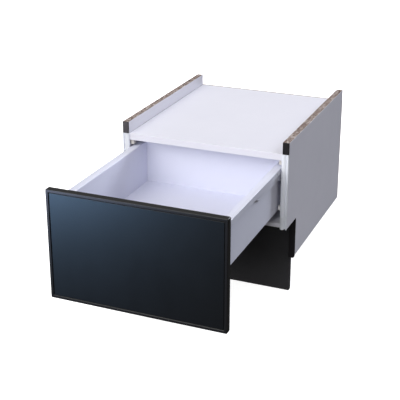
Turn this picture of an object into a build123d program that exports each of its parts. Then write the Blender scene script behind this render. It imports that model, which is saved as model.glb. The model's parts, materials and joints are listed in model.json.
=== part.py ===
from build123d import *
import os

# Under-counter drawer base unit: two raised side panels, a top shelf, one
# full-extension drawer with a framed black front, and a recessed plinth.
# +X is the unit's right-hand side, +Y points from the drawer front to the back,
# +Z is up. Everything is drawn with Y = 0 at the front edge of the side panels
# and is moved at the end so that the origin is the middle of the footprint.
# The drawer is drawn pulled out.

# ---- driving dimensions (mm) ----
W = 500.0            # overall width over the side panels
H = 496.0            # floor to the top edge of the side panels
T = 19.0             # side panel board
D_SIDE = 555.0       # depth of the side panels
BACK_T = 5.0         # back panel board
UPSTAND = 34.0       # side panels stand this far above the shelf
SHELF_T = 20.0
SHELF_SET = 1.0      # shelf front edge behind the front of the side panels
BOT_T = 12.0
NOTCH_Y = 86.0       # toe recess depth in the side panels
NOTCH_Z = 244.0      # underside of the front part of the side panels
SIDE_Z = 126.0       # underside of the rear part of the side panels
PL_Y = 101.0         # plinth face
PL_T = 16.0

OPEN = 442.0         # drawer front face ahead of the side panels, as drawn
FW = 488.0           # drawer front width
FZ0, FZ1 = 150.0, 452.5   # drawer front bottom and top
FT = 17.0            # drawer front thickness
FRAME = 8.5          # width of the raised frame round the front

RUN_T = 12.7         # runner set thickness
RUN_L = 500.0        # runner length
TRAVEL = 419.4       # from the drawn position back to closed
MORE = 30.0          # from the drawn position on to the full-extension stop
DR_T = 13.0          # drawer side board
DR_Z0, DR_Z1 = 291.0, 422.0
DR_L = 500.0
DB_Z, DB_T = DR_Z0, 6.0   # drawer bottom board underside and thickness
GROOVE = 6.5         # depth of the rebate that the drawer bottom lies in

LEG_X, LEG_Y1, LEG_Y2 = 145.0, 157.0, 470.0

HX = W / 2
IX = HX - T                      # inner face of a side panel
DX = IX - RUN_T                  # outer face of a drawer side
DI = DX - DR_T                   # inner face of a drawer side
D_ALL = D_SIDE + BACK_T
FRONT_Y = -OPEN                  # outer face of the drawer front
BOX_Y0 = FRONT_Y + FT            # front end of the drawer box
BOX_Y1 = BOX_Y0 + DR_L
SHELF_Z1 = H - UPSTAND
SHELF_Z0 = SHELF_Z1 - SHELF_T
BOT_Z0, BOT_Z1 = NOTCH_Z, NOTCH_Z + BOT_T
Y_SHIFT = -(D_ALL - OPEN) / 2    # puts the origin at the middle of the footprint

os.makedirs("parts", exist_ok=True)
made = []


def bx(x0, x1, y0, y1, z0, z1):
    return Pos((x0 + x1) / 2, (y0 + y1) / 2, (z0 + z1) / 2) * Box(
        abs(x1 - x0), abs(y1 - y0), abs(z1 - z0))


def cz(x, y, z0, z1, r):
    return Pos(x, y, (z0 + z1) / 2) * Cylinder(r, z1 - z0)


def cx(y, z, x0, x1, r):
    return Pos((x0 + x1) / 2, y, z) * Rot(0, 90, 0) * Cylinder(r, abs(x1 - x0))


def cy(x, z, y0, y1, r):
    return Pos(x, (y0 + y1) / 2, z) * Rot(90, 0, 0) * Cylinder(r, abs(y1 - y0))


def flip(s):
    return mirror(s, about=Plane.YZ)


def solids_of(shape):
    if isinstance(shape, (list, tuple)):
        out = []
        for s in shape:
            out += solids_of(s)
        return out
    return list(shape.solids())


def save(name, *shapes):
    sol = []
    for s in shapes:
        sol += solids_of(s)
    sol = [Pos(0, Y_SHIFT, 0) * s for s in sol]
    out = sol[0] if len(sol) == 1 else Compound(children=sol)
    export_step(out, "parts/" + name + ".step")
    made.append(name)


def edges_at(s, axis, x=None, y=None, z=None, tol=0.05):
    """Straight edges along an axis whose midpoint has the given coordinates."""
    res = []
    for e in s.edges().filter_by(axis):
        c = e @ 0.5
        if x is not None and abs(c.X - x) > tol:
            continue
        if y is not None and abs(c.Y - y) > tol:
            continue
        if z is not None and abs(c.Z - z) > tol:
            continue
        res.append(e)
    return res


# ---- hardware positions ----
DOWEL_Y = (42.0, 280.0, 514.0)
CAM_Y = (84.0, 472.0)
SHELF_ZC = (SHELF_Z0 + SHELF_Z1) / 2
BOT_ZC = (BOT_Z0 + BOT_Z1) / 2
BACK_SCREWS = [(IX + T / 2, 150.0), (IX + T / 2, 300.0), (IX + T / 2, 440.0),
               (-IX - T / 2, 150.0), (-IX - T / 2, 300.0), (-IX - T / 2, 440.0),
               (-120.0, SHELF_ZC), (120.0, SHELF_ZC), (-120.0, BOT_ZC), (120.0, BOT_ZC)]
CAB_SCREW_Y = (37.0, 257.0, 453.0)      # runner to side panel
CAB_SCREW_Z = 374.0
DRW_SCREW_Y = (-398.0, -200.0, 40.0)   # runner to drawer side
DRW_SCREW_Z = 409.2


# ---- side panel (right), melamine-faced board with a toe recess ----
def side_panel():
    pts = [(0, NOTCH_Z), (0, H), (D_SIDE, H), (D_SIDE, SIDE_Z), (NOTCH_Y, SIDE_Z), (NOTCH_Y, NOTCH_Z)]
    face = make_face(Polyline(*[Vector(IX, y, z) for y, z in pts], close=True))
    s = extrude(face, amount=T, dir=(1, 0, 0))
    long_edges = [e for e in s.edges() if abs((e @ 0.5).X - HX) < 0.05 or abs((e @ 0.5).X - IX) < 0.05]
    s = chamfer(long_edges, 0.4)
    for y in DOWEL_Y:
        s -= cx(y, SHELF_ZC, IX - 1, IX + 11.5, 4.0)
        s -= cx(y, BOT_ZC, IX - 1, IX + 11.5, 3.0)
    for y in CAM_Y:
        s -= cx(y, SHELF_ZC, IX - 1, IX + 11.0, 2.5)
        s -= cx(y, BOT_ZC, IX - 1, IX + 11.0, 2.5)
    for y in CAB_SCREW_Y:
        s -= cx(y, CAB_SCREW_Z, IX - 1, IX + 12.0, 2.0)
    for x, z in BACK_SCREWS:
        if x > IX:
            s -= cy(x, z, D_SIDE - 20.5, D_SIDE + 1, 1.75)
    return s.solids()[0]


rs = side_panel()
save("right_side_panel", rs)
save("left_side_panel", flip(rs))


# ---- top shelf and bottom panel, doweled and cam-locked between the sides ----
def board_ends(s, zc, dowel_r, cam_z0, cam_z1, bore_r):
    for sx in (1, -1):
        for y in DOWEL_Y:
            s -= cx(y, zc, sx * (IX + 1), sx * (IX - 19.5), dowel_r)
        for y in CAM_Y:
            s -= cx(y, zc, sx * (IX + 1), sx * (IX - 34), bore_r)
            s -= cz(sx * (IX - 34), y, cam_z0 - 1, cam_z1, 7.6)
    return s


shelf = bx(-IX, IX, SHELF_SET, D_SIDE, SHELF_Z0, SHELF_Z1)
shelf = fillet(edges_at(shelf, Axis.X, y=SHELF_SET), 1.5)
shelf = board_ends(shelf, SHELF_ZC, 4.0, SHELF_Z0, SHELF_Z0 + 13.5, 3.4)
for x, z in BACK_SCREWS:
    if z == SHELF_ZC:
        shelf -= cy(x, z, D_SIDE - 20.5, D_SIDE + 1, 1.75)
save("top_shelf", shelf)

bottom = bx(-IX, IX, 1.0, D_SIDE, BOT_Z0, BOT_Z1)
bottom = fillet(edges_at(bottom, Axis.X, y=1.0), 1.2)
bottom = board_ends(bottom, BOT_ZC, 3.0, BOT_Z0, BOT_Z0 + 10.2, 3.4)
for x, z in BACK_SCREWS:
    if z == BOT_ZC:
        bottom -= cy(x, z, D_SIDE - 20.5, D_SIDE + 1, 1.75)
SOCKET_SCREW = 22.0
for sx in (1, -1):
    for y in (LEG_Y1, LEG_Y2):
        for dx in (-SOCKET_SCREW, SOCKET_SCREW):
            for dy in (-SOCKET_SCREW, SOCKET_SCREW):
                bottom -= cz(sx * LEG_X + dx, y + dy, BOT_Z0 - 1, BOT_Z0 + 9.5, 1.75)
save("bottom_panel", bottom)

# ---- back panel ----
back = bx(-HX + 0.5, HX - 0.5, D_SIDE, D_ALL, SIDE_Z + 1.5, SHELF_Z1)
for x, z in BACK_SCREWS:
    back -= cy(x, z, D_SIDE - 1, D_ALL + 1, 1.8)
    back -= Pos(x, D_ALL - 1.0, z) * Rot(-90, 0, 0) * Cone(1.8, 3.6, 2.0)
save("back_panel", back)


def countersunk(x, z):
    head = Pos(x, D_ALL - 1.0, z) * Rot(-90, 0, 0) * Cone(1.7, 3.5, 2.0)
    s = cy(x, z, D_SIDE - 20.0, D_ALL - 1.0, 1.7) + head
    for a in (0, 90):
        s -= Pos(x, D_ALL, z) * Rot(0, a, 0) * Box(3.6, 2.0, 0.8)
    return s


save("back_panel_screws", [countersunk(x, z) for x, z in BACK_SCREWS])

# ---- dowels, cam locks and cam bolts ----
dowels, cams, bolts = [], [], []
for sx in (1, -1):
    for y in DOWEL_Y:
        for zc, r in ((SHELF_ZC, 4.0), (BOT_ZC, 3.0)):
            d = cx(y, zc, sx * (IX - 19), sx * (IX + 11), r)
            d = chamfer(d.edges().filter_by(GeomType.CIRCLE), 0.8)
            dowels.append(d)
    for y in CAM_Y:
        for zc, z0, h in ((SHELF_ZC, SHELF_Z0, 13.0), (BOT_ZC, BOT_Z0, 9.8)):
            xc = sx * (IX - 34)
            c = cz(xc, y, z0, z0 + h, 7.5)
            c -= cx(y, zc, xc, xc + sx * 8, 3.6)
            c -= Pos(xc, y, z0) * Box(6.5, 1.4, 3.0)
            c -= Pos(xc, y, z0) * Box(1.4, 6.5, 3.0)
            cams.append(c)
            b = cx(y, zc, sx * (IX + 10.8), sx * IX, 2.45) + cx(y, zc, sx * IX, sx * (IX - 29.0), 1.8)
            b += cx(y, zc, sx * IX, sx * (IX - 6.0), 3.2)
            b += cx(y, zc, sx * (IX - 29.0), sx * (IX - 32.5), 3.0)
            bolts.append(b)
save("carcass_dowels", dowels)
save("cam_locks", cams)
save("cam_bolts", bolts)


# ---- white seal profile on the front edge of each side panel ----
def seal_profile():
    x0, x1 = IX - 1.6, HX - 0.2
    xm, xn = IX + 11.2, IX + 14.4
    with BuildPart() as bp:
        with BuildSketch(Plane.XY.offset(NOTCH_Z - 3.0)):
            with BuildLine():
                Line((x0, 0), (x0, -2.2))
                ThreePointArc((x0, -2.2), ((x0 + xm) / 2, -5.0), (xm, -2.4))
                Line((xm, -2.4), (xm + 0.3, -1.1))
                Line((xm + 0.3, -1.1), (xn - 0.3, -1.1))
                Line((xn - 0.3, -1.1), (xn, -2.6))
                ThreePointArc((xn, -2.6), ((xn + x1) / 2, -4.6), (x1, -2.0))
                Line((x1, -2.0), (x1, 0))
                Line((x1, 0), (x0, 0))
            make_face()
        extrude(amount=SHELF_Z1 - NOTCH_Z + 3.0)
    s = bp.part
    # the two lobes end in shallow rounded tips below the carcass
    tip = bx(x0 - 1, x1 + 1, -6, 0.1, NOTCH_Z - 4.0, NOTCH_Z - 0.6)
    keep = cy((x0 + xm) / 2, NOTCH_Z + 10.5, -6.1, 0.2, 13.4) + cy((xn + x1) / 2, NOTCH_Z + 2.0, -6.1, 0.2, 4.2)
    s -= (tip - keep)
    return s.solids()[0]


sp = seal_profile()
save("right_seal_profile", sp)
save("left_seal_profile", flip(sp))

# ---- black caps on the front ends of the upstands ----
cap = bx(IX + 0.2, HX - 0.2, -2.4, 0, SHELF_Z1 + 0.3, H - 0.2)
cap = fillet(cap.edges().filter_by(Axis.Z).sort_by(Axis.Y)[:2], 0.8)
cap = fillet([e for e in cap.edges().filter_by(Axis.X) if (e @ 0.5).Y < -2.0 and (e @ 0.5).Z > H - 1], 0.8)
save("right_upstand_cap", cap)
save("left_upstand_cap", flip(cap))

# ---- black edge strips down the toe recess, rounded at the foot ----
strip = bx(IX + 0.1, HX - 0.1, NOTCH_Y - 3.0, NOTCH_Y, SIDE_Z - 9.0, NOTCH_Z - 0.2)
strip = fillet(edges_at(strip, Axis.Y, x=HX - 0.1, z=SIDE_Z - 9.0), 7.0)
strip = fillet([e for e in strip.edges().filter_by(Axis.Z) if (e @ 0.5).Y < NOTCH_Y - 2.9], 0.8)
strip += bx(IX + 0.1, HX - 8.0, NOTCH_Y, NOTCH_Y + 6.0, SIDE_Z - 3.0, SIDE_Z)
save("right_recess_strip", strip)
save("left_recess_strip", flip(strip))

# ---- plinth board with its clips on the front legs ----
plinth = bx(-IX + 0.5, IX - 0.5, PL_Y, PL_Y + PL_T, 0, NOTCH_Z - 1.0)
plinth = chamfer(edges_at(plinth, Axis.X, y=PL_Y), 0.6)
CLIP_Z = 112.0
for sx in (1, -1):
    for dx in (-20, 20):
        plinth -= cy(sx * LEG_X + dx, CLIP_Z, PL_Y + 5.0, PL_Y + PL_T + 1, 1.75)
save("plinth_board", plinth)

TUBE_R = 16.0
clips, clip_screws = [], []
PB = PL_Y + PL_T
for sx in (1, -1):
    x = sx * LEG_X
    c = bx(x - 27, x + 27, PB, PB + 3, CLIP_Z - 12, CLIP_Z + 12)
    c += bx(x - 7, x + 7, PB + 3, LEG_Y1 - TUBE_R - 1.0, CLIP_Z - 12, CLIP_Z + 12)
    ring = cz(x, LEG_Y1, CLIP_Z - 12, CLIP_Z + 12, TUBE_R + 3.2) - cz(x, LEG_Y1, CLIP_Z - 13, CLIP_Z + 13, TUBE_R + 0.1)
    ring -= bx(x - 11, x + 11, LEG_Y1 + 2, LEG_Y1 + 30, CLIP_Z - 13, CLIP_Z + 13)
    c += ring
    for dx in (-20, 20):
        c -= cy(x + dx, CLIP_Z, PB - 1, PB + 4, 1.9)
        s = cy(x + dx, CLIP_Z, PL_Y + 5.5, PB + 3, 1.7) + cy(x + dx, CLIP_Z, PB + 3, PB + 5, 3.5)
        s -= Pos(x + dx, PB + 5, CLIP_Z) * Box(4.0, 1.6, 0.9)
        clip_screws.append(s)
    clips.append(c)
save("plinth_clips", clips)
save("plinth_clip_screws", clip_screws)

# ---- legs: socket plate, tube and adjustable foot ----
sockets, tubes, socket_screws = [], [], []
feet = {}
for sx, side in ((1, "right"), (-1, "left")):
    for y, fb in ((LEG_Y1, "front"), (LEG_Y2, "rear")):
        x = sx * LEG_X
        p = bx(x - 32, x + 32, y - 32, y + 32, BOT_Z0 - 4, BOT_Z0)
        p = fillet(p.edges().filter_by(Axis.Z), 8)
        p += cz(x, y, BOT_Z0 - 34, BOT_Z0 - 4, 20.0)
        for a in (45, 135):
            p += Pos(x, y, BOT_Z0 - 9) * Rot(0, 0, a) * Box(58, 3, 10)
        p -= cz(x, y, BOT_Z0 - 35, BOT_Z0 - 3, TUBE_R)
        for dx in (-SOCKET_SCREW, SOCKET_SCREW):
            for dy in (-SOCKET_SCREW, SOCKET_SCREW):
                p -= cz(x + dx, y + dy, BOT_Z0 - 16, BOT_Z0 - 4, 4.2)
                p -= cz(x + dx, y + dy, BOT_Z0 - 5, BOT_Z0 + 1, 1.9)
                s = cz(x + dx, y + dy, BOT_Z0 - 4, BOT_Z0 + 9, 1.7) + cz(x + dx, y + dy, BOT_Z0 - 6.4, BOT_Z0 - 4, 3.6)
                s -= Pos(x + dx, y + dy, BOT_Z0 - 6.4) * Box(4.2, 0.9, 1.8)
                s -= Pos(x + dx, y + dy, BOT_Z0 - 6.4) * Box(0.9, 4.2, 1.8)
                socket_screws.append(s)
        sockets.append(p.solids()[0])
        t = cz(x, y, 34, BOT_Z0 - 3, TUBE_R) - cz(x, y, 33, BOT_Z0 - 8, 10.0)
        t = chamfer(t.edges().filter_by(GeomType.CIRCLE).group_by(Axis.Z)[0], 0.8)
        tubes.append(t)
        f = cz(x, y, 0, 5, 26.0)
        f = fillet(f.edges().filter_by(GeomType.CIRCLE).group_by(Axis.Z)[-1], 2.0)
        f += Pos(x, y, 9.0) * Cone(22.0, 13.0, 8.0)
        f += Pos(x, y, 19.5) * extrude(RegularPolygon(15.0, 6), amount=6.5, both=True)
        f += cz(x, y, 26, 33, 13.0)
        f += cz(x, y, 33, 118, 9.9)
        feet[fb + "_" + side + "_foot"] = f.solids()[0]
save("leg_sockets", sockets)
save("leg_socket_screws", socket_screws)
save("leg_tubes", tubes)
for n, f in feet.items():
    save(n, f)

# ---- white guide blocks and stop blocks that steady the drawer ----
guide = bx(IX - 9.5, IX, 2.5, 30, 296, 309)
guide = chamfer([e for e in guide.edges() if (e @ 0.5).X < IX - 9.4], 1.6)
save("right_guide_block", guide)
save("left_guide_block", flip(guide))
stop = bx(219, 230.8, 6.0, 24.0, SHELF_Z0 - 14, SHELF_Z0)
stop = fillet(stop.edges().filter_by(Axis.Z), 2.5)
stop = chamfer([e for e in stop.edges() if (e @ 0.5).Z < SHELF_Z0 - 13.9], 0.8)
save("stop_blocks", stop, flip(stop))


# ---- full-extension ball runners ----
# Sections are drawn for the right-hand set. The drawer member is an inverted channel
# along the top of the drawer side, the cabinet member is an upright channel with a
# screw web on the side panel, and the middle member is a bar that stands in one and
# reaches up into the other. Balls run on both faces of the bar.
G = 1.2                            # steel thickness
RAIL_H = 16.5                      # height of the drawer member
RX0, RX1 = DX, DX + 9.2            # drawer member, inner and outer face
CAV0, CAV1 = RX0 + G, RX1 - G      # clear space inside both channels
CAB_Z0, CAB_Z1 = 384.8, 403.5      # cabinet channel
WEB_Z0 = 364.0                     # foot of the screw web
BAR_T = 2.0
BAR_X = (CAV0 + CAV1) / 2
BAR_Z0, BAR_Z1 = 388.5, 418.5
RY0 = 3.0                          # front end of the cabinet member
MID_Y0 = RY0 - TRAVEL / 2          # middle member is half-way out
DRW_Y0 = BOX_Y0 + 1.0

cab = bx(RX0 + 0.4, CAV0, RY0, RY0 + RUN_L, CAB_Z0, CAB_Z1)
cab += bx(RX0 + 0.4, IX, RY0, RY0 + RUN_L, CAB_Z0, CAB_Z0 + G)
cab += bx(CAV1, RX1, RY0, RY0 + RUN_L, CAB_Z0, CAB_Z1)
cab += bx(IX - G, IX, RY0, RY0 + RUN_L, WEB_Z0, CAB_Z0 + G)
cab += bx(CAV0 - 0.1, CAV1 + 0.1, RY0 + RUN_L - 3, RY0 + RUN_L, CAB_Z0 + G, CAB_Z1 - 2)   # rear stop
for y in CAB_SCREW_Y:
    cab -= cx(y, CAB_SCREW_Z, IX - 4, IX + 1, 2.2)
save("right_cabinet_member", cab)
save("left_cabinet_member", flip(cab))

MID_Y1 = MID_Y0 + RUN_L - 8
NOSE, NOSE_H = 45.0, 17.5          # the bar's front end slopes up into the drawer member
mid_pts = [(MID_Y0, BAR_Z0 + NOSE_H), (MID_Y0 + NOSE, BAR_Z0), (MID_Y1, BAR_Z0), (MID_Y1, BAR_Z1), (MID_Y0, BAR_Z1)]
mid_face = make_face(Polyline(*[Vector(BAR_X - BAR_T / 2, y, z) for y, z in mid_pts], close=True))
mid = extrude(mid_face, amount=BAR_T, dir=(1, 0, 0))
mid = fillet(edges_at(mid, Axis.Y, z=BAR_Z1) + edges_at(mid, Axis.Y, z=BAR_Z0), 0.6)
save("right_middle_member", mid)
save("left_middle_member", flip(mid))

drw = bx(RX0, RX1, DRW_Y0, BOX_Y1 - 2.0, DR_Z1 - RAIL_H, DR_Z1)
drw = fillet(edges_at(drw, Axis.Y, x=RX1, z=DR_Z1), 1.4)
drw -= bx(CAV0, CAV1, DRW_Y0 - 1, BOX_Y1, DR_Z1 - RAIL_H - 1, DR_Z1 - G)
for y in DRW_SCREW_Y:
    drw -= Pos(RX0 + G / 2, y, DRW_SCREW_Z) * Rot(0, 90, 0) * Cone(1.8, 3.0, G)
save("right_drawer_member", drw)
save("left_drawer_member", flip(drw))

# ball cages: the lower one runs between cabinet and middle member, the upper one
# between middle and drawer member; each holds a row of balls on both faces of the bar
BALL_R = ((CAV1 - CAV0) - BAR_T) / 4 - 0.05
BALL_X = (CAV1 - CAV0 + BAR_T) / 4
CAGE_L, N_BALL = 150.0, 9


def cage_set(zb, z_open, z_tip, y0):
    """Balls at height zb in a folded strip that reaches from z_open to z_tip."""
    z0, z1 = min(z_open, z_tip), max(z_open, z_tip)
    tip = (z_tip - 0.6, z_tip) if z_tip > z_open else (z_tip, z_tip + 0.6)
    cage = bx(BAR_X - BALL_X - 0.25, BAR_X + BALL_X + 0.25, y0, y0 + CAGE_L, *tip)
    balls = []
    for s in (1, -1):
        xb = BAR_X + s * BALL_X
        cage += bx(xb - 0.25, xb + 0.25, y0, y0 + CAGE_L, z0, z1)
    for s in (1, -1):
        xb = BAR_X + s * BALL_X
        for i in range(N_BALL):
            yb = y0 + 9 + i * (CAGE_L - 18) / (N_BALL - 1)
            cage -= cx(yb, zb, xb - 1, xb + 1, BALL_R + 0.05)
            balls.append(Pos(xb, yb, zb) * Sphere(BALL_R))
    return cage.solids()[0], balls


lcage, lballs = cage_set(394.0, 397.5, 386.7, RY0 + 40.0)
ucage, uballs = cage_set(414.0, 409.5, 419.8, MID_Y0 + 40.0)
save("right_lower_ball_cage", lcage)
save("left_lower_ball_cage", flip(lcage))
save("right_lower_balls", lballs)
save("left_lower_balls", [flip(b) for b in lballs])
save("right_upper_ball_cage", ucage)
save("left_upper_ball_cage", flip(ucage))
save("right_upper_balls", uballs)
save("left_upper_balls", [flip(b) for b in uballs])

cs, ds = [], []
for y in CAB_SCREW_Y:
    f = IX - G
    t = cx(y, CAB_SCREW_Z, f, f + 12.5, 1.95) + cx(y, CAB_SCREW_Z, f - 1.8, f, 3.6)
    t = fillet([e for e in t.edges().filter_by(GeomType.CIRCLE) if abs((e @ 0.5).X - (f - 1.8)) < 0.02], 0.9)
    t -= Pos(f - 1.8, y, CAB_SCREW_Z) * Box(1.4, 4.0, 0.9)
    t -= Pos(f - 1.8, y, CAB_SCREW_Z) * Box(1.4, 0.9, 4.0)
    cs.append(t)
for y in DRW_SCREW_Y:
    t = cx(y, DRW_SCREW_Z, RX0 - 10.0, RX0, 1.7)
    t += Pos(RX0 + G / 2 - 0.05, y, DRW_SCREW_Z) * Rot(0, 90, 0) * Cone(1.7, 2.9, G - 0.1)
    t -= Pos(RX0 + G, y, DRW_SCREW_Z) * Box(1.4, 2.6, 0.7)
    t -= Pos(RX0 + G, y, DRW_SCREW_Z) * Box(1.4, 0.7, 2.6)
    ds.append(t)
save("runner_cabinet_screws", cs, [flip(t) for t in cs])
save("runner_drawer_screws", ds, [flip(t) for t in ds])


# ---- drawer box ----
def drawer_side():
    s = bx(DI, DX, BOX_Y0, BOX_Y1, DR_Z0, DR_Z1)
    s = fillet(edges_at(s, Axis.Y, x=DI, z=DR_Z1), 3.0)
    s = chamfer(edges_at(s, Axis.Y, x=DX, z=DR_Z1), 0.3)
    s = fillet(edges_at(s, Axis.Y, z=DR_Z0), 0.8)
    s -= bx(DI - 1, DI + GROOVE, BOX_Y0 - 1, BOX_Y1 + 1, DB_Z - 1, DB_Z + DB_T)
    for y in DRW_SCREW_Y:
        s -= cx(y, DRW_SCREW_Z, DX - 10.5, DX + 1, 1.8)
    for z in DRAWER_BACK_SCREW_Z:
        s -= cx(BACK_YC, z, DI - 1, DX + 1, 1.9)
        s -= Pos(DX - 1.1, BACK_YC, z) * Rot(0, 90, 0) * Cone(1.9, 3.7, 2.2)
    for z in BRACKET_SCREW_Z:
        s -= cx(BOX_Y0 + 19, z, DI - 1, DI + 10.5, 1.75)
    return s


BACK_T2 = 13.0
BACK_Y0 = BOX_Y1 - 1.0 - BACK_T2
BACK_YC = BACK_Y0 + BACK_T2 / 2
DRAWER_BACK_SCREW_Z = (334.0, 376.0)
BRACKET_SCREW_Z = (352.0, 392.0)
dside = drawer_side()
save("drawer_right_side", dside)
save("drawer_left_side", flip(dside))

dback = bx(-DI, DI, BACK_Y0, BACK_Y0 + BACK_T2, DB_Z + DB_T, DR_Z1)
dback = fillet(edges_at(dback, Axis.X, z=DR_Z1), 1.2)
for sx in (1, -1):
    for z in DRAWER_BACK_SCREW_Z:
        dback -= cx(BACK_YC, z, sx * (DI - 20.5), sx * (DI + 1), 1.7)
for x in (-120, 0, 120):
    dback -= cz(x, BACK_YC, DB_Z + DB_T - 1, DB_Z + DB_T + 16.5, 1.5)
save("drawer_back", dback)

dbot = bx(-DI - GROOVE + 0.3, DI + GROOVE - 0.3, BOX_Y0, BACK_Y0 + BACK_T2, DB_Z, DB_Z + DB_T)
for x in (-120, 0, 120):
    dbot -= cz(x, BACK_YC, DB_Z - 1, DB_Z + DB_T + 1, 1.6)
    dbot -= Pos(x, BACK_YC, DB_Z + 1.0) * Cone(3.5, 1.6, 2.0)
save("drawer_bottom", dbot)

box_screws = []
for sx in (1, -1):
    for z in DRAWER_BACK_SCREW_Z:
        s = cx(BACK_YC, z, sx * (DI - 20), sx * (DX - 2.2), 1.65)
        s += Pos(sx * (DX - 1.1), BACK_YC, z) * Rot(0, sx * 90, 0) * Cone(1.7, 3.5, 2.2)
        s -= Pos(sx * DX, BACK_YC, z) * Box(2.2, 3.6, 0.8)
        s -= Pos(sx * DX, BACK_YC, z) * Box(2.2, 0.8, 3.6)
        box_screws.append(s)
for x in (-120, 0, 120):
    s = cz(x, BACK_YC, DB_Z + 1.9, DB_Z + DB_T + 16, 1.45) + Pos(x, BACK_YC, DB_Z + 1.0) * Cone(3.4, 1.5, 2.0)
    s -= Pos(x, BACK_YC, DB_Z) * Box(3.6, 0.8, 1.6)
    box_screws.append(s)
save("drawer_box_screws", box_screws)

# ---- drawer front: board set in a raised frame ----
fh = FW / 2
outer = bx(-fh, fh, FRONT_Y, BOX_Y0, FZ0, FZ1)
outer = fillet(edges_at(outer, Axis.Y, z=FZ0) + edges_at(outer, Axis.Y, z=FZ1), 3.5)
outer = fillet([e for e in outer.edges() if abs((e @ 0.5).Y - FRONT_Y) < 0.02], 2.0)
hole = bx(-fh + FRAME, fh - FRAME, FRONT_Y - 1, BOX_Y0 + 1, FZ0 + FRAME, FZ1 - FRAME)
frame = outer - hole
lip = [e for e in frame.edges() if abs((e @ 0.5).Y - FRONT_Y) < 0.02
       and abs((e @ 0.5).X) <= fh - FRAME + 0.05 and FZ0 + FRAME - 0.05 <= (e @ 0.5).Z <= FZ1 - FRAME + 0.05]
frame = chamfer(lip, 1.2)
save("front_frame", frame)

panel = bx(-fh + FRAME, fh - FRAME, FRONT_Y + 1.6, BOX_Y0, FZ0 + FRAME, FZ1 - FRAME)
groove_ring = (bx(-fh + FRAME, fh - FRAME, FRONT_Y + 1.5, FRONT_Y + 3.2, FZ0 + FRAME, FZ1 - FRAME)
               - bx(-fh + FRAME + 1.3, fh - FRAME - 1.3, FRONT_Y, FRONT_Y + 4, FZ0 + FRAME + 1.3, FZ1 - FRAME - 1.3))
panel -= groove_ring
panel = fillet([e for e in panel.edges() if abs((e @ 0.5).Y - (FRONT_Y + 1.6)) < 0.02], 0.8)
FB_X = DI - 20.0
for sx in (1, -1):
    for z in BRACKET_SCREW_Z:
        panel -= cy(sx * FB_X, z, BOX_Y0 - 11.0, BOX_Y0 + 1, 1.75)
save("front_panel", panel)

# ---- steel angle brackets and screws that hold the front to the drawer sides ----
bracket = bx(DI - 2.0, DI, BOX_Y0, BOX_Y0 + 30, 340, 404) + bx(DI - 31, DI, BOX_Y0, BOX_Y0 + 2.0, 340, 404)
bracket = fillet(edges_at(bracket, Axis.Z, x=DI - 2.0, y=BOX_Y0 + 2.0), 1.5)
br_screws = []
for z in BRACKET_SCREW_Z:
    bracket -= cx(BOX_Y0 + 19, z, DI - 4, DI + 1, 1.9)
    bracket -= cy(FB_X, z, BOX_Y0 - 1, BOX_Y0 + 4, 1.9)
    s = cx(BOX_Y0 + 19, z, DI - 2.0, DI + 10, 1.7) + cx(BOX_Y0 + 19, z, DI - 3.8, DI - 2.0, 3.3)
    s -= Pos(DI - 3.8, BOX_Y0 + 19, z) * Box(1.4, 3.8, 0.8)
    s -= Pos(DI - 3.8, BOX_Y0 + 19, z) * Box(1.4, 0.8, 3.8)
    br_screws.append(s)
    s = cy(FB_X, z, BOX_Y0 - 10.5, BOX_Y0 + 2.0, 1.7) + cy(FB_X, z, BOX_Y0 + 2.0, BOX_Y0 + 3.8, 3.3)
    s -= Pos(FB_X, BOX_Y0 + 3.8, z) * Box(3.8, 1.4, 0.8)
    s -= Pos(FB_X, BOX_Y0 + 3.8, z) * Box(0.8, 1.4, 3.8)
    br_screws.append(s)
save("right_front_bracket", bracket)
save("left_front_bracket", flip(bracket))
save("front_bracket_screws", br_screws, [flip(s) for s in br_screws])

print(len(made), "nodes")
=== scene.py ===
import bpy, json, math
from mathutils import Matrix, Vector

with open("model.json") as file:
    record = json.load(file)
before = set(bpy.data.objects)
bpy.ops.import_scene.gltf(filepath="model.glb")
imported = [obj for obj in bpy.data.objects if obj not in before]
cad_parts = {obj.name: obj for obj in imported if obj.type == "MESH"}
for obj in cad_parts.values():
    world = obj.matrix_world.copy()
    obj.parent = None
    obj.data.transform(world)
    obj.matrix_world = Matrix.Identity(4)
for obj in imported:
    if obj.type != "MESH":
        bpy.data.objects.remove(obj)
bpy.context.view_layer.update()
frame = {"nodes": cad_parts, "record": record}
nodes = frame["nodes"]
slot_of = {s["node"]: s["material_slot"] for s in frame["record"]["subparts"]}
scene = bpy.context.scene

# ------------------------------------------------------------------ camera
cam_data = bpy.data.cameras.new("camera")
cam_data.sensor_width = 36.0
cam_data.lens = 86.632
cam_data.shift_x = 0.0
cam_data.shift_y = -0.10
cam_data.clip_start = 0.05
cam_data.clip_end = 100.0
camera = bpy.data.objects.new("camera", cam_data)
camera.location = (0.96299, -2.39874, 1.34806)
camera.rotation_euler = (math.pi / 2 - 0.3541, 0.0, 0.3943)
scene.collection.objects.link(camera)
scene.camera = camera

# ------------------------------------------------------------------ colour
scene.view_settings.view_transform = "Standard"
scene.view_settings.look = "None"
scene.view_settings.exposure = 0.0
scene.view_settings.gamma = 1.0


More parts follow.
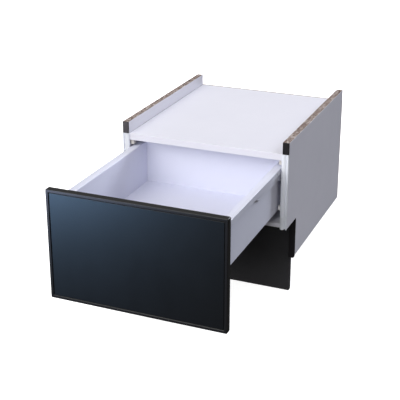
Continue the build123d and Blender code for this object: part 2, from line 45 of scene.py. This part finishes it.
# ------------------------------------------------------------------ nodes
class Mat:
    """A material with a Principled shader and a few shorthand calls for its nodes."""

    def __init__(self, name, rough=0.5, metallic=0.0, ior=1.5, specular=0.5, coat=0.0, coat_rough=0.1):
        self.mat = bpy.data.materials.new(name)
        self.mat.use_nodes = True
        self.nt = self.mat.node_tree
        self.n = self.nt.nodes
        self.n.clear()
        self.out = self.n.new("ShaderNodeOutputMaterial")
        self.bsdf = self.n.new("ShaderNodeBsdfPrincipled")
        self.nt.links.new(self.bsdf.outputs[0], self.out.inputs[0])
        self.bsdf.inputs["Roughness"].default_value = rough
        self.bsdf.inputs["Metallic"].default_value = metallic
        self.bsdf.inputs["IOR"].default_value = ior
        self.bsdf.inputs["Specular IOR Level"].default_value = specular
        self.bsdf.inputs["Coat Weight"].default_value = coat
        self.bsdf.inputs["Coat Roughness"].default_value = coat_rough
        self.tc = self.n.new("ShaderNodeTexCoord")
        self.obj = self.tc.outputs["Object"]
        self.bumps = []

    def link(self, a, b):
        self.nt.links.new(a, b)

    def put(self, socket, v):
        if hasattr(v, "links"):
            self.link(v, socket)
        else:
            socket.default_value = v

    def scaled(self, s):
        m = self.n.new("ShaderNodeMapping")
        self.link(self.obj, m.inputs["Vector"])
        m.inputs["Scale"].default_value = s
        return m.outputs[0]

    def noise(self, scale, detail=3.0, rough=0.5, stretch=None, distortion=0.0):
        t = self.n.new("ShaderNodeTexNoise")
        t.inputs["Scale"].default_value = scale
        t.inputs["Detail"].default_value = detail
        t.inputs["Roughness"].default_value = rough
        t.inputs["Distortion"].default_value = distortion
        self.link(self.scaled(stretch) if stretch else self.obj, t.inputs["Vector"])
        return t.outputs["Fac"]

    def voronoi(self, scale, feature="F1", stretch=None, out="Distance", rand=1.0):
        t = self.n.new("ShaderNodeTexVoronoi")
        t.feature = feature
        t.inputs["Scale"].default_value = scale
        t.inputs["Randomness"].default_value = rand
        self.link(self.scaled(stretch) if stretch else self.obj, t.inputs["Vector"])
        return t.outputs[out]

    def ramp(self, fac, stops, mode="LINEAR"):
        r = self.n.new("ShaderNodeValToRGB")
        r.color_ramp.interpolation = mode
        els = r.color_ramp.elements
        while len(els) < len(stops):
            els.new(0.5)
        for e, (p, c) in zip(els, stops):
            e.position = p
            e.color = (c, c, c, 1) if isinstance(c, (int, float)) else (*c, 1)
        self.link(fac, r.inputs[0])
        return r.outputs[0]

    def mapr(self, v, a, b, c, d, smooth=False):
        m = self.n.new("ShaderNodeMapRange")
        m.interpolation_type = "SMOOTHSTEP" if smooth else "LINEAR"
        self.put(m.inputs[0], v)
        for i, x in zip((1, 2, 3, 4), (a, b, c, d)):
            m.inputs[i].default_value = x
        return m.outputs[0]

    def math(self, op, a, b=None):
        m = self.n.new("ShaderNodeMath")
        m.operation = op
        self.put(m.inputs[0], a)
        if b is not None:
            self.put(m.inputs[1], b)
        return m.outputs[0]

    def mix(self, fac, a, b, blend="MIX"):
        m = self.n.new("ShaderNodeMix")
        m.data_type = "RGBA"
        m.blend_type = blend
        self.put(m.inputs[0], fac)
        for i, c in ((6, a), (7, b)):
            self.put(m.inputs[i], (*c, 1) if isinstance(c, tuple) and len(c) == 3 else c)
        return m.outputs[2]

    def sep(self, vec):
        s = self.n.new("ShaderNodeSeparateXYZ")
        self.link(vec, s.inputs[0])
        return s.outputs

    def normal_obj(self):
        """The face normal in the piece's own frame."""
        g = self.n.new("ShaderNodeNewGeometry")
        t = self.n.new("ShaderNodeVectorTransform")
        t.vector_type = "NORMAL"
        t.convert_from = "WORLD"
        t.convert_to = "OBJECT"
        self.link(g.outputs["True Normal"], t.inputs[0])
        return self.sep(t.outputs[0])

    def edges(self, radius=0.0012, low=0.02, high=0.22, breakup=None):
        """1 along outer and inner edges of the piece, 0 elsewhere."""
        b = self.n.new("ShaderNodeBevel")
        b.samples = 4
        b.inputs["Radius"].default_value = radius
        g = self.n.new("ShaderNodeNewGeometry")
        d = self.n.new("ShaderNodeVectorMath")
        d.operation = "DOT_PRODUCT"
        self.link(b.outputs[0], d.inputs[0])
        self.link(g.outputs["True Normal"], d.inputs[1])
        e = self.mapr(self.math("SUBTRACT", 1.0, d.outputs["Value"]), low, high, 0.0, 1.0)
        if breakup is not None:
            e = self.math("MULTIPLY", e, breakup)
        return e

    def bump(self, height, strength=0.1, distance=0.0002):
        b = self.n.new("ShaderNodeBump")
        b.inputs["Strength"].default_value = strength
        b.inputs["Distance"].default_value = distance
        self.link(height, b.inputs["Height"])
        if self.bumps:
            self.link(self.bumps[-1], b.inputs["Normal"])
        self.bumps.append(b.outputs[0])

    def color(self, c):
        self.put(self.bsdf.inputs["Base Color"], (*c, 1) if isinstance(c, tuple) and len(c) == 3 else c)

    def rough(self, r):
        self.put(self.bsdf.inputs["Roughness"], r)

    def done(self):
        if self.bumps:
            self.link(self.bumps[-1], self.bsdf.inputs["Normal"])
        return self.mat


def chipboard(m):
    """Raw pressed-chip edge: flakes of tan and grey wood with pale chips, and painted shade darkening the sunken
    gaps between the flakes.
    """
    flake = m.voronoi(210.0, stretch=(1.0, 0.42, 1.0), out="Color")
    tone = m.sep(flake)[0]
    col = m.ramp(tone, [(0.0, (0.100, 0.062, 0.052)), (0.22, (0.200, 0.135, 0.115)), (0.5, (0.300, 0.230, 0.205)),
                        (0.78, (0.400, 0.335, 0.310)), (1.0, (0.560, 0.505, 0.480))])
    grit = m.noise(900.0, 3.0, 0.7)
    col = m.mix(m.mapr(grit, 0.52, 0.72, 0.0, 0.55), col, (0.085, 0.060, 0.045))
    col = m.mix(m.mapr(m.noise(420.0, 2.0, 0.6), 0.60, 0.74, 0.0, 0.6), col, (0.60, 0.55, 0.49))
    # painted shade: the gaps between flakes are darkened in colour, and the same mask lowers them in the bump
    gap_depth_and_shade = m.voronoi(260.0, feature="DISTANCE_TO_EDGE", stretch=(1.0, 0.42, 1.0))
    col = m.mix(m.mapr(gap_depth_and_shade, 0.0, 0.10, 0.65, 0.0), col, (0.060, 0.045, 0.035))
    height = m.mix(m.mapr(gap_depth_and_shade, 0.0, 0.2, 0.0, 1.0), (0.0, 0.0, 0.0), flake)
    return col, height


def melamine(name, base, dark, raw_edges=False, rough=0.40, joint=False, specular=0.42):
    m = Mat(name, rough=rough, ior=1.5, specular=specular)
    pearl = m.noise(1500.0, 2.0, 0.5)
    cloud = m.noise(5.0, 4.0, 0.55)
    col = m.mix(m.mapr(cloud, 0.35, 0.7, 0.0, 0.5), base, dark)
    col = m.mix(m.mapr(pearl, 0.45, 0.62, 0.0, 0.14), col, tuple(min(1.0, c * 1.08) for c in base))
    speck = m.voronoi(130.0)
    col = m.mix(m.mapr(speck, 0.02, 0.05, 0.22, 0.0), col, tuple(c * 0.72 for c in base))
    scuff = m.mapr(m.noise(38.0, 6.0, 0.75), 0.50, 0.70, 0.0, 1.0)
    wear = m.edges(0.0011, 0.03, 0.25, scuff)
    col = m.mix(m.math("MULTIPLY", wear, 0.42), col, (0.42, 0.385, 0.35))
    r = m.mapr(m.noise(26.0, 4.0, 0.6), 0.3, 0.7, rough - 0.06, rough + 0.08)
    m.bump(pearl, 0.12, 0.00006)
    m.bump(m.noise(420.0, 2.0, 0.5), 0.10, 0.00008)
    if raw_edges:
        raw, h = chipboard(m)
        nx, ny, nz = m.normal_obj()[0:3]
        px, py, pz = m.sep(m.obj)[0:3]
        up = m.math("GREATER_THAN", nz, 0.7)
        down = m.math("LESS_THAN", nz, -0.7)
        back = m.math("GREATER_THAN", ny, 0.7)
        front = m.math("LESS_THAN", ny, -0.7)
        mask = m.math("MAXIMUM", m.math("MAXIMUM", up, down), m.math("MAXIMUM", back, front))
        # the laminate foil, 0.35 mm thick, shows as a pale line on both sides of the raw edge
        ax = m.math("ABSOLUTE", px)
        foil = m.math("MAXIMUM", m.math("GREATER_THAN", ax, 0.24955), m.math("LESS_THAN", ax, 0.23145))
        mask = m.math("MULTIPLY", mask, m.math("SUBTRACT", 1.0, m.math("MULTIPLY", foil, 0.8)))
        col = m.mix(mask, col, raw)
        r = m.mix(mask, m.mapr(r, 0.0, 1.0, 0.0, 1.0), (0.85, 0.85, 0.85))
        m.bump(m.mix(mask, (0.5, 0.5, 0.5), h), 0.55, 0.0003)
    if joint:
        # dust and shade in the butt joint where the board meets the side panels
        edge = m.math("ABSOLUTE", m.sep(m.obj)[0])
        line = m.mapr(m.noise(60.0, 4.0, 0.6), 0.3, 0.7, 0.45, 0.85)
        line = m.math("MULTIPLY", line, m.mapr(edge, 0.2293, 0.2306, 0.0, 1.0, smooth=True))
        col = m.mix(line, col, (0.165, 0.140, 0.130))
    m.color(col)
    m.rough(r)
    return m.done()


def plastic(name, base, dust, rough=0.4, grain=1100.0, grain_amt=0.25, wear_col=None, wear_amt=0.35, specular=0.5, coat=0.0, streak=None, ior=1.5):
    m = Mat(name, rough=rough, specular=specular, coat=coat, coat_rough=0.15, ior=ior)
    g = m.voronoi(grain)
    col = m.mix(m.mapr(m.noise(14.0, 5.0, 0.6), 0.35, 0.75, 0.0, 0.5), base, dust)
    col = m.mix(m.mapr(g, 0.0, 0.55, 0.25, 0.0), col, tuple(c * 0.75 for c in base))
    if wear_col is not None:
        e = m.edges(0.0009, 0.03, 0.3, m.mapr(m.noise(70.0, 5.0, 0.7), 0.42, 0.66, 0.0, 1.0))
        col = m.mix(m.math("MULTIPLY", e, wear_amt), col, wear_col)
    if streak is not None:
        s = m.noise(260.0, 4.0, 0.6, stretch=streak)
        col = m.mix(m.mapr(s, 0.45, 0.75, 0.0, 0.25), col, dust)
        m.bump(s, 0.12, 0.00008)
    m.color(col)
    m.rough(m.mapr(m.noise(33.0, 4.0, 0.65), 0.3, 0.7, rough - 0.06, rough + 0.09))
    m.bump(g, grain_amt, 0.00007)
    return m.done()


def coated_steel(name, base, dark):
    m = Mat(name, rough=0.36, ior=1.5, specular=0.42, coat=0.12, coat_rough=0.15)
    peel = m.noise(620.0, 2.0, 0.45)
    col = m.mix(m.mapr(m.noise(11.0, 5.0, 0.6), 0.35, 0.7, 0.0, 0.6), base, dark)
    rub = m.mapr(m.noise(150.0, 6.0, 0.75, stretch=(1.0, 0.05, 1.0)), 0.60, 0.74, 0.0, 0.30)
    col = m.mix(rub, col, (0.46, 0.46, 0.45))
    e = m.edges(0.0007, 0.04, 0.35, m.mapr(m.noise(90.0, 4.0, 0.7), 0.45, 0.65, 0.0, 1.0))
    col = m.mix(m.math("MULTIPLY", e, 0.35), col, (0.36, 0.36, 0.355))
    m.color(col)
    m.rough(m.mapr(m.noise(45.0, 4.0, 0.6), 0.3, 0.7, 0.26, 0.44))
    m.bump(peel, 0.20, 0.0001)
    return m.done()


def metal(name, base, dark, rough=0.32, scale=600.0, stretch=(1.0, 1.0, 1.0), spangle=False):
    m = Mat(name, rough=rough, metallic=1.0)
    s = m.noise(scale, 4.0, 0.6, stretch=stretch)
    col = m.mix(m.mapr(s, 0.35, 0.7, 0.0, 1.0), base, dark)
    if spangle:
        v = m.voronoi(170.0, out="Color")
        col = m.mix(0.35, col, m.ramp(m.sep(v)[0], [(0.0, dark), (1.0, base)]))
    e = m.edges(0.0006, 0.03, 0.3)
    col = m.mix(m.math("MULTIPLY", e, 0.5), col, tuple(min(1.0, c * 1.35) for c in base))
    m.color(col)
    m.rough(m.mapr(m.noise(scale * 0.4, 3.0, 0.6, stretch=stretch), 0.3, 0.7, rough - 0.08, rough + 0.12))
    m.bump(s, 0.10, 0.00004)
    return m.done()


def beech(name):
    m = Mat(name, rough=0.62, specular=0.3)
    g = m.noise(55.0, 6.0, 0.6, stretch=(0.25, 9.0, 9.0), distortion=0.6)
    col = m.ramp(g, [(0.25, (0.36, 0.205, 0.105)), (0.5, (0.52, 0.33, 0.19)), (0.8, (0.66, 0.46, 0.29))])
    fleck = m.voronoi(900.0, stretch=(0.12, 1.0, 1.0))
    col = m.mix(m.mapr(fleck, 0.05, 0.22, 0.5, 0.0), col, (0.24, 0.125, 0.06))
    m.color(col)
    m.rough(m.mapr(g, 0.3, 0.7, 0.55, 0.72))
    m.bump(g, 0.25, 0.0001)
    return m.done()


def plinth_board(name):
    m = Mat(name, rough=0.52, specular=0.22)
    pore = m.voronoi(950.0)
    leather = m.noise(330.0, 3.0, 0.6)
    col = m.mix(m.mapr(m.noise(7.0, 5.0, 0.6), 0.35, 0.7, 0.0, 1.0), (0.033, 0.033, 0.037), (0.041, 0.041, 0.046))
    col = m.mix(m.mapr(leather, 0.50, 0.68, 0.0, 0.4), col, (0.052, 0.052, 0.057))
    scuff = m.mapr(m.noise(60.0, 6.0, 0.75, stretch=(0.25, 1.0, 1.0)), 0.62, 0.74, 0.0, 1.0)
    pz = m.sep(m.obj)[2]
    low = m.mapr(pz, 0.0, 0.06, 1.0, 0.0)
    col = m.mix(m.math("MULTIPLY", m.math("MULTIPLY", scuff, low), 0.35), col, (0.085, 0.083, 0.080))
    e = m.edges(0.0012, 0.03, 0.28, m.mapr(m.noise(80.0, 5.0, 0.7), 0.45, 0.66, 0.0, 1.0))
    col = m.mix(m.math("MULTIPLY", e, 0.4), col, (0.105, 0.095, 0.085))
    m.color(col)
    m.rough(m.mapr(leather, 0.3, 0.7, 0.44, 0.60))
    m.bump(leather, 0.20, 0.0001)
    m.bump(pore, 0.12, 0.00006)
    return m.done()


def front_lacquer(name, base, smooth=0.30, specular=0.5, coat=0.0, grain=True, peel=0.08, wear=0.08, ior=1.5):
    m = Mat(name, rough=smooth, specular=specular, coat=coat, coat_rough=0.08, ior=ior)
    haze = m.noise(4.0, 4.0, 0.55)
    col = m.mix(m.mapr(haze, 0.35, 0.7, 0.0, 1.0), base, tuple(c * 1.22 for c in base))
    dust = m.voronoi(240.0)
    col = m.mix(m.mapr(dust, 0.012, 0.03, 0.35, 0.0), col, (0.05, 0.05, 0.052))
    if grain:
        g = m.noise(210.0, 4.0, 0.55, stretch=(0.10, 1.0, 1.0))
        col = m.mix(m.mapr(g, 0.42, 0.7, 0.0, 0.35), col, tuple(c * 1.6 for c in base))
        m.bump(g, 0.04, 0.00006)
    e = m.edges(0.0009, 0.03, 0.3, m.mapr(m.noise(55.0, 5.0, 0.7), 0.48, 0.68, 0.0, 1.0))
    col = m.mix(m.math("MULTIPLY", e, wear), col, (0.085, 0.085, 0.088))
    smear = m.noise(9.0, 5.0, 0.65, stretch=(1.0, 1.0, 0.6), distortion=0.5)
    m.color(col)
    m.rough(m.mapr(smear, 0.3, 0.72, smooth - 0.012, smooth + 0.02))
    m.bump(m.noise(520.0, 2.0, 0.5), peel, 0.00008)
    return m.done()


def hardboard(name):
    m = Mat(name, rough=0.5, specular=0.35)
    fibre = m.noise(160.0, 6.0, 0.7, stretch=(1.0, 1.0, 0.35), distortion=0.4)
    screen = m.voronoi(620.0, rand=0.15)
    col = m.mix(m.mapr(m.noise(4.0, 4.0, 0.55), 0.35, 0.7, 0.0, 0.6), (0.70, 0.695, 0.69), (0.62, 0.61, 0.60))
    col = m.mix(m.mapr(fibre, 0.52, 0.72, 0.0, 0.30), col, (0.50, 0.47, 0.43))
    nx, ny, nz = m.normal_obj()[0:3]
    side = m.math("LESS_THAN", m.math("ABSOLUTE", ny), 0.7)
    raw = m.ramp(m.noise(600.0, 4.0, 0.7), [(0.3, (0.13, 0.075, 0.042)), (0.7, (0.30, 0.19, 0.12))])
    col = m.mix(side, col, raw)
    m.color(col)
    m.rough(m.mapr(fibre, 0.3, 0.7, 0.42, 0.62))
    m.bump(screen, 0.18, 0.00012)
    m.bump(fibre, 0.15, 0.0001)
    return m.done()


materials = {
    "white_melamine_board": melamine("white_melamine_board", (0.745, 0.745, 0.83), (0.705, 0.705, 0.795)),
    "white_hardboard": hardboard("white_hardboard"),
    "white_drawer_board": melamine("white_drawer_board", (0.745, 0.76, 0.885), (0.705, 0.72, 0.845), rough=0.44),
    "white_seal_plastic": plastic("white_seal_plastic", (0.855, 0.88, 0.96), (0.72, 0.76, 0.82), rough=0.30, grain=900.0, grain_amt=0.08,
                                  wear_col=(0.45, 0.46, 0.47), wear_amt=0.25, streak=(1.0, 1.0, 0.06), specular=0.55, coat=0.2),
    "black_edge_plastic": plastic("black_edge_plastic", (0.013, 0.012, 0.014), (0.024, 0.022, 0.026), rough=0.42, specular=0.16,
                                  wear_col=(0.07, 0.07, 0.07), streak=(1.0, 1.0, 0.08)),
    "black_plinth_board": plinth_board("black_plinth_board"),
    "black_front_board": front_lacquer("black_front_board", (0.0028, 0.0029, 0.0033), smooth=0.35, specular=0.36),
    "black_frame_plastic": front_lacquer("black_frame_plastic", (0.0060, 0.0062, 0.0070), smooth=0.35, specular=0.40, grain=False, peel=0.06, wear=0.10),
    "black_leg_plastic": plastic("black_leg_plastic", (0.016, 0.016, 0.017), (0.035, 0.034, 0.033), rough=0.5, grain=700.0, grain_amt=0.4,
                                 wear_col=(0.09, 0.09, 0.088)),
    "white_guide_plastic": plastic("white_guide_plastic", (0.80, 0.80, 0.79), (0.66, 0.65, 0.63), rough=0.38,
                                   wear_col=(0.50, 0.49, 0.47), streak=(1.0, 0.08, 1.0)),
    "beige_stop_plastic": plastic("beige_stop_plastic", (0.60, 0.58, 0.55), (0.50, 0.48, 0.45), rough=0.45,
                                  wear_col=(0.70, 0.66, 0.58)),
    "white_coated_runner_steel": coated_steel("white_coated_runner_steel", (0.735, 0.75, 0.87), (0.68, 0.695, 0.81)),
    "grey_cage_plastic": plastic("grey_cage_plastic", (0.30, 0.30, 0.305), (0.20, 0.20, 0.20), rough=0.42, wear_col=(0.5, 0.5, 0.5)),
    "polished_ball_steel": metal("polished_ball_steel", (0.72, 0.72, 0.74), (0.60, 0.60, 0.62), rough=0.12, scale=900.0),
    "zinc_screw_steel": metal("zinc_screw_steel", (0.66, 0.67, 0.69), (0.46, 0.465, 0.47), rough=0.32, scale=900.0),
    "cam_alloy": metal("cam_alloy", (0.58, 0.58, 0.59), (0.38, 0.38, 0.385), rough=0.44, scale=1200.0),
    "beech_dowel_wood": beech("beech_dowel_wood"),
    "zinc_bracket_steel": metal("zinc_bracket_steel", (0.66, 0.67, 0.69), (0.48, 0.485, 0.50), rough=0.30, scale=500.0, spangle=True),
}
# the side panels get their own raw-edge melamine whose base is darker than the other white boards: painted shade for
# their dimly lit faces
side_panel_mat_painted_shade = melamine("white_melamine_raw_edge_painted_shade", (0.695, 0.69, 0.765), (0.65, 0.645, 0.725), raw_edges=True)
shelf_mat = melamine("white_melamine_shelf", (0.745, 0.745, 0.82), (0.705, 0.705, 0.785), rough=0.55, joint=True, specular=0.16)

own_mat = {"right_side_panel": side_panel_mat_painted_shade, "left_side_panel": side_panel_mat_painted_shade, "top_shelf": shelf_mat}
for name, obj in nodes.items():
    mat = own_mat.get(name) or materials[slot_of[name]]
    if not obj.material_slots:
        obj.data.materials.append(mat)
    for s in obj.material_slots:
        s.material = mat

# ------------------------------------------------------------------ floor
floor_mesh = bpy.data.meshes.new("studio_floor")
R = 9.0
floor_mesh.from_pydata([(R * math.cos(a * math.pi / 32), R * math.sin(a * math.pi / 32), 0.0) for a in range(64)], [], [tuple(range(64))])
floor = bpy.data.objects.new("studio_floor", floor_mesh)
floor.location = (0.0, 0.0, -0.0006)
scene.collection.objects.link(floor)
fm = Mat("pale_floor", rough=0.9, specular=0.1)
fm.color(fm.mix(fm.mapr(fm.noise(2.0, 3.0, 0.5), 0.3, 0.7, 0.0, 1.0), (0.88, 0.88, 0.88), (0.90, 0.90, 0.90)))
fm.bsdf.inputs["Emission Color"].default_value = (1, 1, 1, 1)
fm.bsdf.inputs["Emission Strength"].default_value = 0.85
floor_mesh.materials.append(fm.done())
# the bright sweep is there for the eye; it throws no light back on the object
floor.visible_diffuse = False
floor.visible_glossy = False

# ------------------------------------------------------------------ light
WORLD_LOW, WORLD_HIGH = 0.06, 0.42
world = bpy.data.worlds.new("world")
scene.world = world
world.use_nodes = True
wt = world.node_tree
bg = wt.nodes["Background"]
# soft room light: slightly warm, brighter overhead than at the floor
wtc = wt.nodes.new("ShaderNodeTexCoord")
wsep = wt.nodes.new("ShaderNodeSeparateXYZ")
wmap = wt.nodes.new("ShaderNodeMapRange")
wt.links.new(wtc.outputs["Generated"], wsep.inputs[0])
wt.links.new(wsep.outputs[2], wmap.inputs[0])
for i, v in zip((1, 2, 3, 4), (-0.35, 0.9, WORLD_LOW, WORLD_HIGH)):
    wmap.inputs[i].default_value = v
bg.inputs[0].default_value = (1.0, 0.972, 0.935, 1)
wt.links.new(wmap.outputs[0], bg.inputs[1])
# the eye sees a plain white backdrop
white = wt.nodes.new("ShaderNodeBackground")
white.inputs[0].default_value = (1, 1, 1, 1)
white.inputs[1].default_value = 1.0
path = wt.nodes.new("ShaderNodeLightPath")
pick = wt.nodes.new("ShaderNodeMixShader")
wt.links.new(path.outputs["Is Camera Ray"], pick.inputs[0])
wt.links.new(bg.outputs[0], pick.inputs[1])
wt.links.new(white.outputs[0], pick.inputs[2])
wt.links.new(pick.outputs[0], wt.nodes["World Output"].inputs[0])


def sun(name, direction, strength, angle, color=(1, 1, 1)):
    """direction points from the object towards the light."""
    d = bpy.data.lights.new(name, "SUN")
    d.energy = strength
    d.angle = math.radians(angle)
    d.color = color
    o = bpy.data.objects.new(name, d)
    o.rotation_euler = Vector(direction).to_track_quat("Z", "Y").to_euler()
    scene.collection.objects.link(o)
    return o


def area(name, loc, target, size, power, color=(1, 1, 1)):
    d = bpy.data.lights.new(name, "AREA")
    d.shape = "RECTANGLE"
    d.size, d.size_y = size
    d.energy = power
    d.color = color
    o = bpy.data.objects.new(name, d)
    o.location = loc
    o.rotation_euler = (Vector(loc) - Vector(target)).to_track_quat("Z", "Y").to_euler()
    scene.collection.objects.link(o)
    return o


sun("rim_rear_right", (0.46, 0.80, 0.44), 1.80, 24.0, (0.85, 0.90, 1.0))
sun("key_front", (-0.18, -0.82, 0.50), 2.75, 58.0, (1.0, 0.995, 0.985))
sun("top_fill", (0.05, -0.20, 1.0), 0.35, 80.0, (0.97, 0.97, 1.0))
box_light = area("left_front_box", (-0.98, -1.62, 0.13), (-0.20, -0.5, 0.40), (0.8, 0.22), 21.0, (0.37, 0.62, 1.0))
box_light.visible_diffuse = False
box_light.visible_camera = False
# this box is only there to draw the long soft gloss down the black drawer front
gloss_on = bpy.data.collections.new("box_light_receivers")
for name in ("front_panel",):
    gloss_on.objects.link(nodes[name])
box_light.light_linking.receiver_collection = gloss_on
cap_light = area("left_cap_box", (-0.98, -1.62, 0.13), (-0.24, -0.1, 0.48), (0.8, 0.22), 34.0, (0.92, 0.88, 1.0))
cap_light.visible_diffuse = False
cap_light.visible_camera = False
cap_gloss_on = bpy.data.collections.new("cap_box_receivers")
for name in ("left_upstand_cap", "left_recess_strip"):
    cap_gloss_on.objects.link(nodes[name])
cap_light.light_linking.receiver_collection = cap_gloss_on
frame_light = area("left_frame_box", (-0.98, -1.62, 0.13), (-0.20, -0.5, 0.40), (0.8, 0.22), 15.0, (0.60, 0.70, 1.0))
frame_light.visible_diffuse = False
frame_light.visible_camera = False
frame_gloss_on = bpy.data.collections.new("frame_box_receivers")
frame_gloss_on.objects.link(nodes["front_frame"])
frame_light.light_linking.receiver_collection = frame_gloss_on
